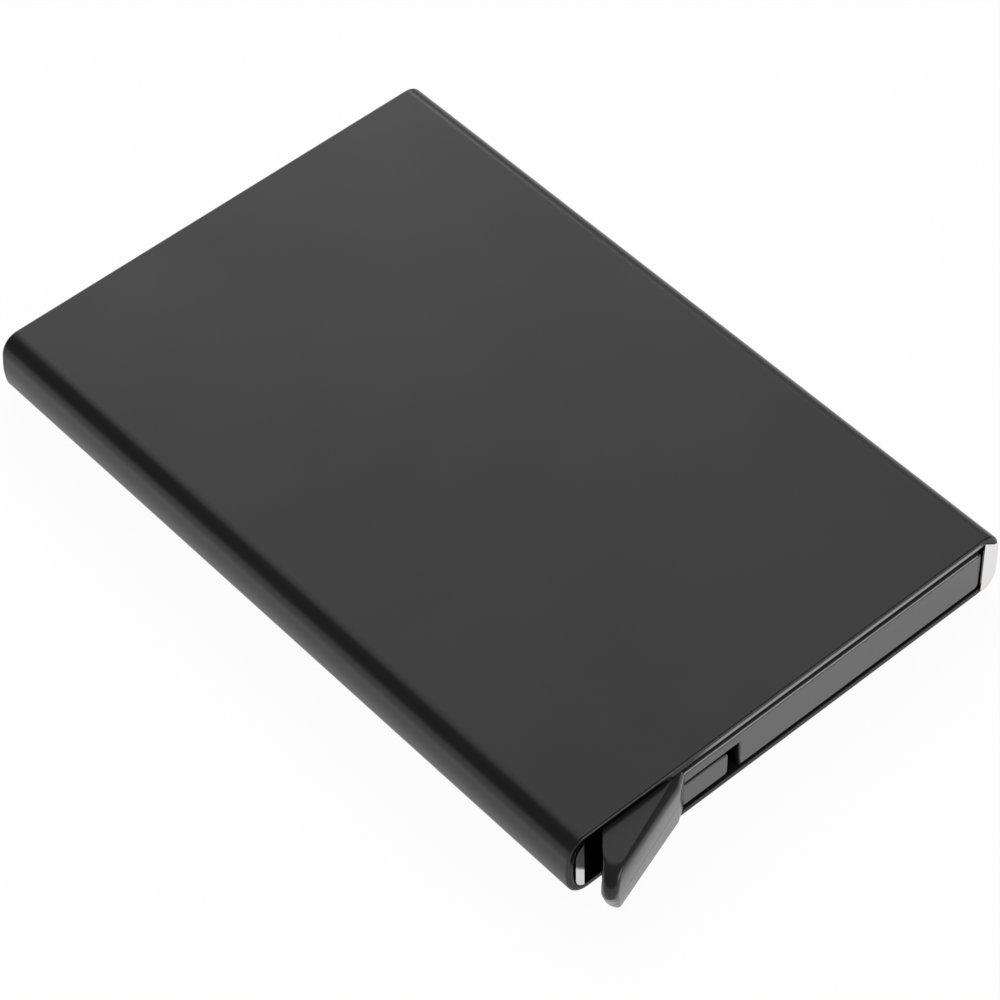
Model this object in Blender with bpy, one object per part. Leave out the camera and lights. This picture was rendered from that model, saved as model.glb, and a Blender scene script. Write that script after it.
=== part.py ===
"""Slim pop-up card holder.

A flat aluminium sleeve, open at both ends, takes the cards at its mouth. A moulded chassis closes
the other end and carries a thumb lever. Pressing the lever swings a stepped ejector arm, which
pushes the cards out of the mouth as a fan, each by its own step. A bowed steel strip down each
side holds them by their edges.

Metres. X runs across the sleeve, Y along it from the lever end to the mouth, and Z up from the
face that it rests on. The origin is the centre of that resting face.
"""

import math

import bmesh
import bpy

# The cards that it holds, to the common card standard
CARD_LENGTH = 0.0856
CARD_WIDTH = 0.05398
CARD_END_PLAY = 0.0004

# Sleeve: a flat drawn tube with rounded sides
SLEEVE_WALL = 0.0009
SLEEVE_CORNER_RADIUS = 0.0029
SLEEVE_INNER_HEIGHT = 0.0075
SLEEVE_EDGE_BREAK = 0.0002
SIDE_CHANNEL_WIDTH = 0.00461
MECHANISM_DEPTH = 0.0130

# Chassis: one moulding with the end cap, a roof, a card stop and two side arms
CHASSIS_FIT_GAP = 0.00012
CHASSIS_ROOF_GAP = 0.0004
CHASSIS_FLOOR_GAP = 0.00035
ROOF_THICKNESS = 0.0007
ROOF_SETBACK = 0.0010
PADDLE_BAY_DEPTH = 0.0056
CAP_RECESS = 0.0001
CAP_THICKNESS = 0.0012
CAP_GAP_BELOW = 0.00025
CAP_GAP_ABOVE = 0.0009
CAP_SIDE_GAP = 0.0015
CAP_CORNER_RADIUS = 0.0008
CAP_EDGE_BREAK = 0.0004
NOTCH_GAP = 0.0015
STRIP_REACH = 0.00515
PIVOT_BLOCK_WIDTH = 0.0056
PIVOT_BLOCK_DEPTH = 0.0041
RIB_THICKNESS = 0.0011
STOP_WALL_THICKNESS = 0.0012
STOP_TIP_GAP = 0.0025
STOP_LUG_THICKNESS = 0.0011
STOP_LUG_REACH = 0.0022
ARM_SPRING_GAP = 0.0003
ARM_BAY_THICKNESS = 0.00215
ARM_CARD_GAP = 0.0005
LEFT_ARM_START = 0.0037
ARM_REACH = 0.0170
ARM_TIP_TAPER = 0.0012

# Brake springs: steel strips whose ends fold into D-shaped feet at the lever end
STRIP_THICKNESS = 0.0004
STRIP_WALL_GAP = 0.0003
STRIP_HEIGHT_GAP = 0.00005
STRIP_END_GAP = 0.0070
STRIP_CARD_GAP = 0.0002
FOOT_WIDTH = 0.0012
FOOT_THICKNESS = 0.0005
FOOT_STAND_OUT = 0.0001
FOOT_FIT_GAP = 0.0001
FOOT_LIP_THICKNESS = 0.0002
FOOT_LIP_STAND_OFF = 0.00004
FOOT_LIP_INSET = 0.0002
FOOT_LIP_REACH = 0.0003
FOOT_LIP_TOP_INSET = 0.0004
FOOT_LIP_TOP_FALL = 0.0019
FOOT_LIP_BOTTOM_INSET = 0.0006

# Thumb lever
LEVER_PIVOT_INSET = 0.0210
LEVER_PIVOT_DEPTH = 0.0019
LEVER_HUB_RADIUS = 0.0017
LEVER_HUB_HEIGHT = 0.0037
LEVER_HUB_FLOOR_GAP = 0.0003
LEVER_HUB_STRIP_GAP = 0.00038
LEVER_TAB_LENGTH = 0.0069
LEVER_TAB_CORNER_RADIUS = 0.0007
LEVER_TAB_EDGE_BREAK = 0.0003
LEVER_VALLEY_REACH = 0.00525
LEVER_VALLEY_DROP = 0.0020
LEVER_KNEE_REACH = 0.0070
LEVER_KNEE_DROP = 0.0031
LEVER_NOSE_RADIUS = 0.00105
LEVER_NOSE_REACH = 0.0202
LEVER_NOSE_DROP = 0.0067
LEVER_CHEEK_REACH = 0.0197
LEVER_CHEEK_DROP = 0.0051
LEVER_FLANK_REACH = 0.0164
LEVER_FLANK_DROP = 0.0008
LEVER_HEEL_REACH = 0.0060
LEVER_HEEL_RISE = 0.0003
LEVER_GAP_BELOW = 0.00015
LEVER_GAP_ABOVE = 0.0002
LEVER_FACE_TOP_ROUND = 0.0014
LEVER_FACE_BOTTOM_ROUND = 0.0008
LEVER_NOSE_TOP_ROUND = 0.0030
LEVER_NOSE_BOTTOM_ROUND = 0.0040
LEVER_NOSE_TUCK_SHARE = 0.7
LEVER_CHEEK_SLIDE_SHARE = 0.5
LEVER_FLANK_ROUND = 0.0005
LEVER_PIN_RADIUS = 0.00075

# Drive horn on the lever, which pushes the ejector arm
HORN_NOSE_RADIUS = 0.0012
HORN_FOLLOWER_GAP = 0.0003
HORN_BASE_HALF_WIDTH = 0.0027
HORN_BASE_DROP = 0.0012

# Ejector arm, a stack of steps with the longest at the bottom
EJECTOR_PIVOT_INSET = 0.0061
EJECTOR_PIVOT_FROM_STOP = 0.0040
EJECTOR_HUB_RADIUS = 0.0026
EJECTOR_FOLLOWER_OFFSET = 0.0022
EJECTOR_FOLLOWER_LENGTH = 0.0090
EJECTOR_REACH = 0.0400
EJECTOR_REACH_STEP = 0.0060
EJECTOR_STEPS = 5
EJECTOR_TIP_RADIUS = 0.0013
EJECTOR_TIP_OFFSET = 0.0023
EJECTOR_FLOOR_GAP = 0.00035
EJECTOR_ROOF_GAP = 0.00025
EJECTOR_TURN_PER_LEVER_TURN = 4.0
RIVET_RADIUS = 0.0010
RIVET_HEAD_RADIUS = 0.0019
RIVET_HEAD_HEIGHT = 0.00022
PIN_RUNNING_GAP = 0.00005
PIN_PRESS_GAP = 0.00002
PIN_FLOOR_GAP = 0.0002

# Linings: two thin pads glued inside the sleeve, near the mouth
LINING_THICKNESS = 0.0006
LINING_GLUE_GAP = 0.0001
LINING_WIDTH = 0.0420
LINING_LENGTH = 0.0320
LINING_MOUTH_GAP = 0.0070
LINING_CORNER_RADIUS = 0.0020

# Cutters run this far past what they cut, and joined shapes run this far into each other
OVERRUN = 0.0006

# Facets on a quarter of a round corner, and round a pin
CORNER_STEPS = 6
PIN_SIDES = 28
BOW_STEPS = 22
ROUND_STEPS = 8
FRONT_ROUND_STEPS = 4

# Levels and edges that follow from the sizes above
SLEEVE_LENGTH = MECHANISM_DEPTH + CARD_LENGTH + CARD_END_PLAY
END_Y = -SLEEVE_LENGTH / 2
MOUTH_Y = SLEEVE_LENGTH / 2
STOP_Y = END_Y + MECHANISM_DEPTH
INNER_X = CARD_WIDTH / 2 + SIDE_CHANNEL_WIDTH
OUTER_X = INNER_X + SLEEVE_WALL
FLOOR_Z = SLEEVE_WALL
CEILING_Z = FLOOR_Z + SLEEVE_INNER_HEIGHT
SLEEVE_HEIGHT = CEILING_Z + SLEEVE_WALL
INNER_RADIUS = SLEEVE_CORNER_RADIUS - SLEEVE_WALL

ROOF_TOP = CEILING_Z - CHASSIS_ROOF_GAP
ROOF_BOTTOM = ROOF_TOP - ROOF_THICKNESS
WALL_BOTTOM = FLOOR_Z + CHASSIS_FLOOR_GAP
CAP_BOTTOM = FLOOR_Z + CAP_GAP_BELOW
CAP_TOP = CEILING_Z - CAP_GAP_ABOVE
CAP_FRONT = END_Y + CAP_RECESS
ROOF_FRONT = END_Y + ROOF_SETBACK

LEVER_X = -INNER_X + LEVER_PIVOT_INSET
LEVER_Y = END_Y + LEVER_PIVOT_DEPTH
LEVER_HUB_BOTTOM = FLOOR_Z + LEVER_HUB_FLOOR_GAP
LEVER_HUB_TOP = LEVER_HUB_BOTTOM + LEVER_HUB_HEIGHT
STRIP_BOTTOM = LEVER_HUB_TOP + LEVER_HUB_STRIP_GAP
STRIP_LEFT = LEVER_X - STRIP_REACH
CAP_LEFT = LEVER_X + LEVER_HUB_RADIUS + NOTCH_GAP
CAP_RIGHT = INNER_X - CAP_SIDE_GAP

EJECTOR_X = -INNER_X + EJECTOR_PIVOT_INSET
EJECTOR_Y = STOP_Y - EJECTOR_PIVOT_FROM_STOP
HORN_REACH = (LEVER_X - EJECTOR_X) / (1 + 1 / EJECTOR_TURN_PER_LEVER_TURN)
EJECTOR_BOTTOM = FLOOR_Z + EJECTOR_FLOOR_GAP
EJECTOR_TOP = ROOF_BOTTOM - EJECTOR_ROOF_GAP

STRIP_OUTER_X = INNER_X - STRIP_WALL_GAP
STRIP_INNER_X = STRIP_OUTER_X - STRIP_THICKNESS
ARM_OUTER_X = STRIP_INNER_X - ARM_SPRING_GAP
ARM_CARD_X = CARD_WIDTH / 2 + ARM_CARD_GAP
ARM_BAY_X = ARM_OUTER_X - ARM_BAY_THICKNESS
STOP_LEFT = EJECTOR_X + EJECTOR_REACH + STOP_TIP_GAP


def material(name, color, roughness, metallic):
    """One Principled finish."""
    made = bpy.data.materials.new(name)
    made.use_nodes = True
    shader = made.node_tree.nodes["Principled BSDF"]
    shader.inputs["Base Color"].default_value = (*color, 1.0)
    shader.inputs["Roughness"].default_value = roughness
    shader.inputs["Metallic"].default_value = metallic
    made.diffuse_color = (*color, 1.0)
    return made


def arc(centre, radius, start_deg, end_deg, steps):
    """Points along an arc, from its start angle to its end angle."""
    points = []
    for step in range(steps + 1):
        angle = math.radians(start_deg + (end_deg - start_deg) * step / steps)
        points.append((centre[0] + radius * math.cos(angle), centre[1] + radius * math.sin(angle)))
    return points


def rectangle(left, right, low, high):
    return [(left, low), (right, low), (right, high), (left, high)]


def rounded_rectangle(left, right, low, high, radius):
    """A rectangle whose four corners are quarter circles."""
    centres = [
        ((right - radius, low + radius), -90),
        ((right - radius, high - radius), 0),
        ((left + radius, high - radius), 90),
        ((left + radius, low + radius), 180),
    ]
    points = []
    for centre, start in centres:
        points += arc(centre, radius, start, start + 90, CORNER_STEPS)
    return points


def inner_outline(gap):
    """The sleeve's inside outline, drawn in by a gap all round."""
    side = INNER_X - gap
    return rounded_rectangle(-side, side, FLOOR_Z + gap, CEILING_Z - gap, INNER_RADIUS - gap)


def outer_outline(gap):
    """The sleeve's outside outline, drawn in by a gap all round."""
    side = OUTER_X - gap
    return rounded_rectangle(-side, side, gap, SLEEVE_HEIGHT - gap, SLEEVE_CORNER_RADIUS - gap)


def finish(mesh, name, look=None, place=(0.0, 0.0, 0.0)):
    """Turn a bmesh into an object. Without a look it is a helper for a Boolean, and isn't rendered."""
    bmesh.ops.recalc_face_normals(mesh, faces=mesh.faces)
    data = bpy.data.meshes.new(name)
    mesh.to_mesh(data)
    mesh.free()
    made = bpy.data.objects.new(name, data)
    made.location = place
    bpy.context.scene.collection.objects.link(made)
    if look is None:
        made.hide_render = True
        made.display_type = "WIRE"
    else:
        data.materials.append(look)
        data.shade_smooth()
        data.set_sharp_from_angle(angle=math.radians(30))
    return made


def extruded(outline, low, high, along):
    """A bmesh prism of a plan outline along Z, or of an end-view outline along Y."""
    mesh = bmesh.new()
    if along == "Z":
        verts = [mesh.verts.new((across, deep, low)) for across, deep in outline]
        travel = (0.0, 0.0, high - low)
    else:
        verts = [mesh.verts.new((across, low, up)) for across, up in outline]
        travel = (0.0, high - low, 0.0)
    face = mesh.faces.new(verts)
    raised = bmesh.ops.extrude_face_region(mesh, geom=[face])["geom"]
    moved = [item for item in raised if isinstance(item, bmesh.types.BMVert)]
    bmesh.ops.translate(mesh, verts=moved, vec=travel)
    return mesh


def soften_front(mesh, behind, width):
    """Round the edges of a prism's front face, which are the ones that lie wholly before a depth."""
    rim = [edge for edge in mesh.edges if max(vert.co.y for vert in edge.verts) < behind]
    bmesh.ops.bevel(
        mesh,
        geom=rim,
        offset=width,
        segments=FRONT_ROUND_STEPS,
        profile=0.5,
        affect="EDGES",
        material=-1,
    )


def helper(name, outline, low, high, along="Z", place=(0.0, 0.0, 0.0)):
    return finish(extruded(outline, low, high, along), name, None, place)


def combine(target, operation, *helpers):
    """Join helpers to an object, cut them from it, or keep only what they share."""
    for other in helpers:
        step = target.modifiers.new(f"{operation.lower()} {other.name}", "BOOLEAN")
        step.operation = operation
        step.solver = "EXACT"
        step.object = other


def turned(name, profile, place, look):
    """A pin turned about Z from a profile of radius and height pairs."""
    mesh = bmesh.new()
    verts = [mesh.verts.new((radius, 0.0, height)) for radius, height in profile]
    edges = [mesh.edges.new(pair) for pair in zip(verts, verts[1:])]
    bmesh.ops.spin(
        mesh,
        geom=verts + edges,
        cent=(0.0, 0.0, 0.0),
        axis=(0.0, 0.0, 1.0),
        angle=math.tau,
        steps=PIN_SIDES,
        use_merge=True,
    )
    bmesh.ops.remove_doubles(mesh, verts=mesh.verts, dist=PIN_PRESS_GAP / 4)
    return finish(mesh, name, look, place)


def round_helper(name, radius, low, high, place):
    """A cylinder that cuts a pin's hole, with its facets in line with the pin's."""
    profile = [(0.0, low), (radius, low), (radius, high), (0.0, high)]
    return turned(name, profile, place, None)


def make_sleeve(look):
    """The drawn tube: a ring outline carried along Y, with its cut ends lightly broken."""
    mesh = bmesh.new()
    rings = []
    for outline in (outer_outline(0.0), inner_outline(0.0)):
        verts = [mesh.verts.new((across, END_Y, up)) for across, up in outline]
        rings += [mesh.edges.new(pair) for pair in zip(verts, verts[1:] + verts[:1])]
    rim = bmesh.ops.bridge_loops(mesh, edges=rings)["faces"]
    raised = bmesh.ops.extrude_face_region(mesh, geom=rim)["geom"]
    moved = [item for item in raised if isinstance(item, bmesh.types.BMVert)]
    bmesh.ops.translate(mesh, verts=moved, vec=(0.0, SLEEVE_LENGTH, 0.0))
    bmesh.ops.recalc_face_normals(mesh, faces=mesh.faces)
    ends = [edge for edge in mesh.edges if edge.calc_face_angle() > math.radians(60)]
    bmesh.ops.bevel(
        mesh,
        geom=ends,
        offset=SLEEVE_EDGE_BREAK,
        segments=1,
        profile=0.5,
        affect="EDGES",
        material=-1,
    )
    return finish(mesh, "sleeve", look)


def cap_outline():
    """The end cap from outside: a plate with round right corners and the lever's notch at its left."""
    radius = CAP_CORNER_RADIUS
    points = [(STRIP_LEFT, STRIP_BOTTOM), (CAP_LEFT, STRIP_BOTTOM), (CAP_LEFT, CAP_BOTTOM)]
    points += arc((CAP_RIGHT - radius, CAP_BOTTOM + radius), radius, -90, 0, CORNER_STEPS)
    points += arc((CAP_RIGHT - radius, CAP_TOP - radius), radius, 0, 90, CORNER_STEPS)
    points.append((STRIP_LEFT, CAP_TOP))
    return points


def roof_outline():
    """The roof in plan: over the whole mechanism, and open over the paddle's bay."""
    bay_end = END_Y + PADDLE_BAY_DEPTH
    return [
        (STRIP_LEFT, ROOF_FRONT),
        (ARM_OUTER_X, ROOF_FRONT),
        (ARM_OUTER_X, STOP_Y),
        (-ARM_OUTER_X, STOP_Y),
        (-ARM_OUTER_X, bay_end),
        (STRIP_LEFT, bay_end),
    ]


def arm_outline(side, start, end):
    """A side arm in plan: thin beside the mechanism, thicker where it guides a card's edge."""
    points = [
        (ARM_BAY_X, start),
        (ARM_OUTER_X, start),
        (ARM_OUTER_X, end),
        (ARM_CARD_X + ARM_TIP_TAPER, end),
        (ARM_CARD_X, end - ARM_TIP_TAPER),
        (ARM_CARD_X, STOP_Y),
        (ARM_BAY_X, STOP_Y),
    ]
    return [(side * across, deep) for across, deep in points]


def make_chassis(look):
    """The end moulding: cap, roof, ribs, card stop, pivot block and side arms, in one piece."""
    mesh = extruded(cap_outline(), CAP_FRONT, CAP_FRONT + CAP_THICKNESS, "Y")
    soften_front(mesh, ROOF_FRONT, CAP_EDGE_BREAK)
    chassis = finish(mesh, "chassis", look)

    rib_low = CAP_BOTTOM + CAP_EDGE_BREAK
    rib_high = ROOF_TOP - ROOF_THICKNESS / 2
    block_end = END_Y + PIVOT_BLOCK_DEPTH
    middle_rib = (STOP_LEFT + ARM_BAY_X) / 2
    arm_end = STOP_Y + ARM_REACH
    lug_right = STOP_LUG_REACH - ARM_BAY_X
    walls = [
        ("roof", roof_outline(), ROOF_BOTTOM, ROOF_TOP),
        (
            "pivot_block",
            rectangle(CAP_LEFT - PIVOT_BLOCK_WIDTH, CAP_LEFT + OVERRUN, ROOF_FRONT, block_end),
            STRIP_BOTTOM,
            rib_high,
        ),
        (
            "cap_return",
            rectangle(CAP_LEFT + CAP_EDGE_BREAK, CAP_LEFT + RIB_THICKNESS, ROOF_FRONT, block_end + OVERRUN),
            rib_low,
            rib_high,
        ),
        (
            "rib_beside_ejector",
            rectangle(STOP_LEFT, STOP_LEFT + RIB_THICKNESS, ROOF_FRONT, STOP_Y - OVERRUN),
            rib_low,
            rib_high,
        ),
        (
            "rib_middle",
            rectangle(middle_rib, middle_rib + RIB_THICKNESS, ROOF_FRONT, STOP_Y - OVERRUN),
            rib_low,
            rib_high,
        ),
        (
            "card_stop",
            rectangle(STOP_LEFT, ARM_BAY_X + OVERRUN, STOP_Y - STOP_WALL_THICKNESS, STOP_Y),
            WALL_BOTTOM,
            ROOF_TOP,
        ),
        (
            "stop_lug",
            rectangle(-ARM_BAY_X - OVERRUN, lug_right, STOP_Y - STOP_LUG_THICKNESS, STOP_Y),
            WALL_BOTTOM,
            ROOF_TOP,
        ),
        ("right_arm", arm_outline(1, ROOF_FRONT, arm_end), WALL_BOTTOM, ROOF_TOP),
        ("left_arm", arm_outline(-1, END_Y + LEFT_ARM_START, arm_end), WALL_BOTTOM, ROOF_TOP),
    ]
    for name, outline, low, high in walls:
        combine(chassis, "UNION", helper(name, outline, low, high))

    envelope = helper(
        "inside_of_sleeve",
        inner_outline(CHASSIS_FIT_GAP),
        END_Y - OVERRUN,
        MOUTH_Y,
        "Y",
    )
    combine(chassis, "INTERSECT", envelope)
    lever_hole = round_helper(
        "lever_pin_hole",
        LEVER_PIN_RADIUS + PIN_PRESS_GAP,
        STRIP_BOTTOM - OVERRUN,
        CEILING_Z,
        (LEVER_X, LEVER_Y, 0.0),
    )
    rivet_hole = round_helper(
        "rivet_hole",
        RIVET_RADIUS + PIN_PRESS_GAP,
        ROOF_BOTTOM - OVERRUN,
        CEILING_Z,
        (EJECTOR_X, EJECTOR_Y, 0.0),
    )
    combine(chassis, "DIFFERENCE", lever_hole, rivet_hole)
    return chassis


def tangent_angle(point, centre, radius, side):
    """The angle on a circle where the line from an outside point touches it, on one side."""
    across = point[0] - centre[0]
    deep = point[1] - centre[1]
    away = math.degrees(math.atan2(deep, across))
    half = math.degrees(math.acos(radius / math.hypot(across, deep)))
    return away + side * half


def unit(start, end):
    """The direction from one plan point to another."""
    length = math.dist(start, end)
    return (end[0] - start[0]) / length, (end[1] - start[1]) / length


def shifted(point, way, distance):
    """A plan point moved by a distance along a direction."""
    return point[0] + distance * way[0], point[1] + distance * way[1]


def lever_section(face_inset, nose_setback, flank_inset):
    """The paddle in plan about its pivot, clockwise: valley, thumb face, nose, inner flank, heel.

    The face, the nose and the flank can each be drawn in, which rounds the paddle's edges.
    """
    valley = (-LEVER_VALLEY_REACH, -LEVER_VALLEY_DROP)
    knee = (-LEVER_KNEE_REACH, -LEVER_KNEE_DROP)
    nose = (-LEVER_NOSE_REACH, -LEVER_NOSE_DROP)
    cheek = (-LEVER_CHEEK_REACH, -LEVER_CHEEK_DROP)
    flank = (-LEVER_FLANK_REACH, -LEVER_FLANK_DROP)
    heel = (-LEVER_HEEL_REACH, LEVER_HEEL_RISE)
    face_way = unit(nose, knee)
    inward = (-face_way[1], face_way[0])
    flank_way = unit(nose, flank)
    nose_way = unit((0.0, 0.0), (face_way[0] + flank_way[0], face_way[1] + flank_way[1]))
    valley = shifted(valley, inward, face_inset)
    knee = shifted(knee, inward, face_inset)
    nose = shifted(nose, nose_way, nose_setback)
    cheek = shifted(cheek, unit(cheek, flank), LEVER_CHEEK_SLIDE_SHARE * nose_setback)
    flank = (flank[0] + flank_inset, flank[1])
    start = tangent_angle(knee, nose, LEVER_NOSE_RADIUS, -1) + 360
    end = tangent_angle(cheek, nose, LEVER_NOSE_RADIUS, 1)
    nose_arc = arc(nose, LEVER_NOSE_RADIUS, start, end, 2 * CORNER_STEPS)
    return [valley, knee] + nose_arc + [cheek, flank, heel]


def round_inset(depth, radius):
    """How far a quarter round has drawn in, at a depth below the surface that it runs up to."""
    if depth >= radius:
        return 0.0
    return radius - math.sqrt(radius**2 - (radius - depth) ** 2)


def lever_sections():
    """Heights of the paddle's plan sections, each with its outline, from bottom to top."""
    bottom = FLOOR_Z + LEVER_GAP_BELOW
    top = CEILING_Z - LEVER_GAP_ABOVE
    shares = [1 - math.cos(math.pi / 2 * step / ROUND_STEPS) for step in range(ROUND_STEPS + 1)]
    sections = []
    for share in shares:
        depth = LEVER_NOSE_BOTTOM_ROUND * share
        face = round_inset(depth, LEVER_FACE_BOTTOM_ROUND)
        nose = LEVER_NOSE_TUCK_SHARE * round_inset(depth, LEVER_NOSE_BOTTOM_ROUND)
        flank = round_inset(depth, LEVER_FLANK_ROUND)
        sections.append((bottom + depth, lever_section(face, nose, flank)))
    for share in reversed(shares):
        depth = LEVER_NOSE_TOP_ROUND * share
        face = round_inset(depth, LEVER_FACE_TOP_ROUND)
        nose = round_inset(depth, LEVER_NOSE_TOP_ROUND)
        flank = round_inset(depth, LEVER_FLANK_ROUND)
        sections.append((top - depth, lever_section(face, nose, flank)))
    return sections


def make_thumb_lever(look):
    """Paddle, hub and drive horn, in one moulding that turns on its pin."""
    pivot = (LEVER_X, LEVER_Y, 0.0)
    mesh = bmesh.new()
    rings = []
    for height, outline in lever_sections():
        rings.append([mesh.verts.new((across, deep, height)) for across, deep in outline])
    for lower, higher in zip(rings, rings[1:]):
        for index, vert in enumerate(lower):
            after = (index + 1) % len(lower)
            mesh.faces.new((vert, lower[after], higher[after], higher[index]))
    mesh.faces.new(rings[0])
    mesh.faces.new(rings[-1])
    lever = finish(mesh, "thumb_lever", look, pivot)

    tab_outline = rounded_rectangle(
        -LEVER_TAB_LENGTH,
        LEVER_HUB_RADIUS,
        LEVER_HUB_BOTTOM,
        LEVER_HUB_TOP,
        LEVER_TAB_CORNER_RADIUS,
    )
    hub_mesh = extruded(tab_outline, -LEVER_HUB_RADIUS, LEVER_HUB_RADIUS, "Y")
    soften_front(hub_mesh, 0.0, LEVER_TAB_EDGE_BREAK)
    hub = finish(hub_mesh, "lever_hub", None, pivot)

    nose_y = EJECTOR_Y - EJECTOR_FOLLOWER_OFFSET - HORN_FOLLOWER_GAP - HORN_NOSE_RADIUS - LEVER_Y
    base_y = -HORN_BASE_DROP
    horn_outline = arc((-HORN_REACH, nose_y), HORN_NOSE_RADIUS, 0, 180, 2 * CORNER_STEPS)
    horn_outline += [
        (-HORN_REACH - HORN_BASE_HALF_WIDTH, base_y),
        (-HORN_REACH + HORN_BASE_HALF_WIDTH, base_y),
    ]
    horn = helper("drive_horn", horn_outline, LEVER_HUB_BOTTOM, EJECTOR_TOP, "Z", pivot)
    combine(lever, "UNION", hub, horn)
    bore = round_helper(
        "lever_bore",
        LEVER_PIN_RADIUS + PIN_RUNNING_GAP,
        LEVER_HUB_BOTTOM - OVERRUN,
        LEVER_HUB_TOP + OVERRUN,
        pivot,
    )
    combine(lever, "DIFFERENCE", bore)
    return lever


def step_outline(reach):
    """One step of the ejector arm in plan: round hub, flat follower edge, taper and round tip."""
    follower_angle = 270 + math.degrees(math.acos(EJECTOR_FOLLOWER_OFFSET / EJECTOR_HUB_RADIUS))
    tip = (reach - EJECTOR_TIP_RADIUS, EJECTOR_TIP_OFFSET)
    follower_end = (EJECTOR_FOLLOWER_LENGTH, -EJECTOR_FOLLOWER_OFFSET)
    points = arc((0.0, 0.0), EJECTOR_HUB_RADIUS, 90, follower_angle, 3 * CORNER_STEPS)
    points.append(follower_end)
    lower_touch = tangent_angle(follower_end, tip, EJECTOR_TIP_RADIUS, 1)
    points += arc(tip, EJECTOR_TIP_RADIUS, lower_touch, 90, CORNER_STEPS)
    return points


def make_ejector_arm(look):
    """A stack of steps, the longest at the bottom, so that each card rises by its own amount."""
    pivot = (EJECTOR_X, EJECTOR_Y, 0.0)
    step_height = (EJECTOR_TOP - EJECTOR_BOTTOM) / EJECTOR_STEPS
    arm = None
    for step in range(EJECTOR_STEPS):
        outline = step_outline(EJECTOR_REACH - step * EJECTOR_REACH_STEP)
        top = EJECTOR_BOTTOM + (step + 1) * step_height
        low = top - step_height - (OVERRUN / 2 if step else 0.0)
        if arm is None:
            arm = finish(extruded(outline, low, top, "Z"), "ejector_arm", look, pivot)
        else:
            combine(arm, "UNION", helper(f"ejector_step_{step}", outline, low, top, "Z", pivot))
    bore = round_helper(
        "ejector_bore",
        RIVET_RADIUS + PIN_RUNNING_GAP,
        EJECTOR_BOTTOM - OVERRUN,
        EJECTOR_TOP + OVERRUN,
        pivot,
    )
    combine(arm, "DIFFERENCE", bore)
    return arm


def make_lever_pin(look):
    """A plain dowel, pressed up into the pivot block."""
    low = FLOOR_Z + PIN_FLOOR_GAP
    high = ROOF_BOTTOM
    edge = LEVER_PIN_RADIUS / 4
    profile = [
        (0.0, low),
        (LEVER_PIN_RADIUS - edge, low),
        (LEVER_PIN_RADIUS, low + edge),
        (LEVER_PIN_RADIUS, high - edge),
        (LEVER_PIN_RADIUS - edge, high),
        (0.0, high),
    ]
    return turned("thumb_lever_pin", profile, (LEVER_X, LEVER_Y, 0.0), look)


def make_ejector_rivet(look):
    """A flat-headed rivet, held in the chassis roof, whose head keeps the arm up."""
    head_top = EJECTOR_BOTTOM - PIN_RUNNING_GAP
    head_low = head_top - RIVET_HEAD_HEIGHT
    profile = [
        (0.0, head_low),
        (RIVET_HEAD_RADIUS, head_low),
        (RIVET_HEAD_RADIUS, head_top),
        (RIVET_RADIUS, head_top),
        (RIVET_RADIUS, ROOF_TOP),
        (0.0, ROOF_TOP),
    ]
    return turned("ejector_arm_rivet", profile, (EJECTOR_X, EJECTOR_Y, 0.0), look)


def make_brake_spring(side, look):
    """A steel strip that bows in towards the cards, with a D-shaped foot at the lever end."""
    base_x = (STRIP_OUTER_X + STRIP_INNER_X) / 2
    bow = STRIP_INNER_X - CARD_WIDTH / 2 - STRIP_CARD_GAP
    start = END_Y + FOOT_THICKNESS / 2
    bow_start = STOP_Y + ARM_REACH
    bow_end = MOUTH_Y - STRIP_END_GAP
    centres = [(base_x, start)]
    for step in range(BOW_STEPS + 1):
        share = step / BOW_STEPS
        inward = bow * math.sin(math.pi * share) ** 2
        centres.append((base_x - inward, bow_start + share * (bow_end - bow_start)))
    half = STRIP_THICKNESS / 2
    outline = [(side * (across + half), deep) for across, deep in centres]
    outline += [(side * (across - half), deep) for across, deep in reversed(centres)]
    name = "left_brake_spring" if side < 0 else "right_brake_spring"
    low = FLOOR_Z + INNER_RADIUS + STRIP_HEIGHT_GAP
    high = CEILING_Z - INNER_RADIUS - STRIP_HEIGHT_GAP
    spring = finish(extruded(outline, low, high, "Z"), name, look)

    foot_front = END_Y - FOOT_STAND_OUT
    foot_outer = INNER_X - FOOT_FIT_GAP
    foot_sides = sorted((side * (foot_outer - FOOT_WIDTH), side * (foot_outer + OVERRUN)))
    foot = helper(
        f"{name}_foot",
        rectangle(*foot_sides, FLOOR_Z, CEILING_Z),
        foot_front,
        foot_front + FOOT_THICKNESS,
        "Y",
    )
    shape = helper(
        f"{name}_foot_shape",
        inner_outline(FOOT_FIT_GAP),
        foot_front - OVERRUN,
        foot_front + FOOT_THICKNESS + OVERRUN,
        "Y",
    )
    combine(foot, "INTERSECT", shape)
    combine(spring, "UNION", foot)
    return spring


def lap_foot_over_wall(spring):
    """The right spring's foot also laps over the sleeve's cut end, as a thin plate in front of it."""
    back = END_Y - FOOT_LIP_STAND_OFF
    front = back - FOOT_LIP_THICKNESS
    left = INNER_X - FOOT_FIT_GAP - FOOT_WIDTH - FOOT_LIP_REACH
    low = FOOT_LIP_BOTTOM_INSET
    high = SLEEVE_HEIGHT - FOOT_LIP_TOP_INSET
    outline = [(left, low), (OUTER_X, low), (OUTER_X, high - FOOT_LIP_TOP_FALL), (left, high)]
    lip = helper("foot_lip", outline, front, back, "Y")
    shape = helper(
        "foot_lip_shape",
        outer_outline(FOOT_LIP_INSET),
        front - OVERRUN,
        back + OVERRUN,
        "Y",
    )
    combine(lip, "INTERSECT", shape)
    combine(spring, "UNION", lip)


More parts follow.
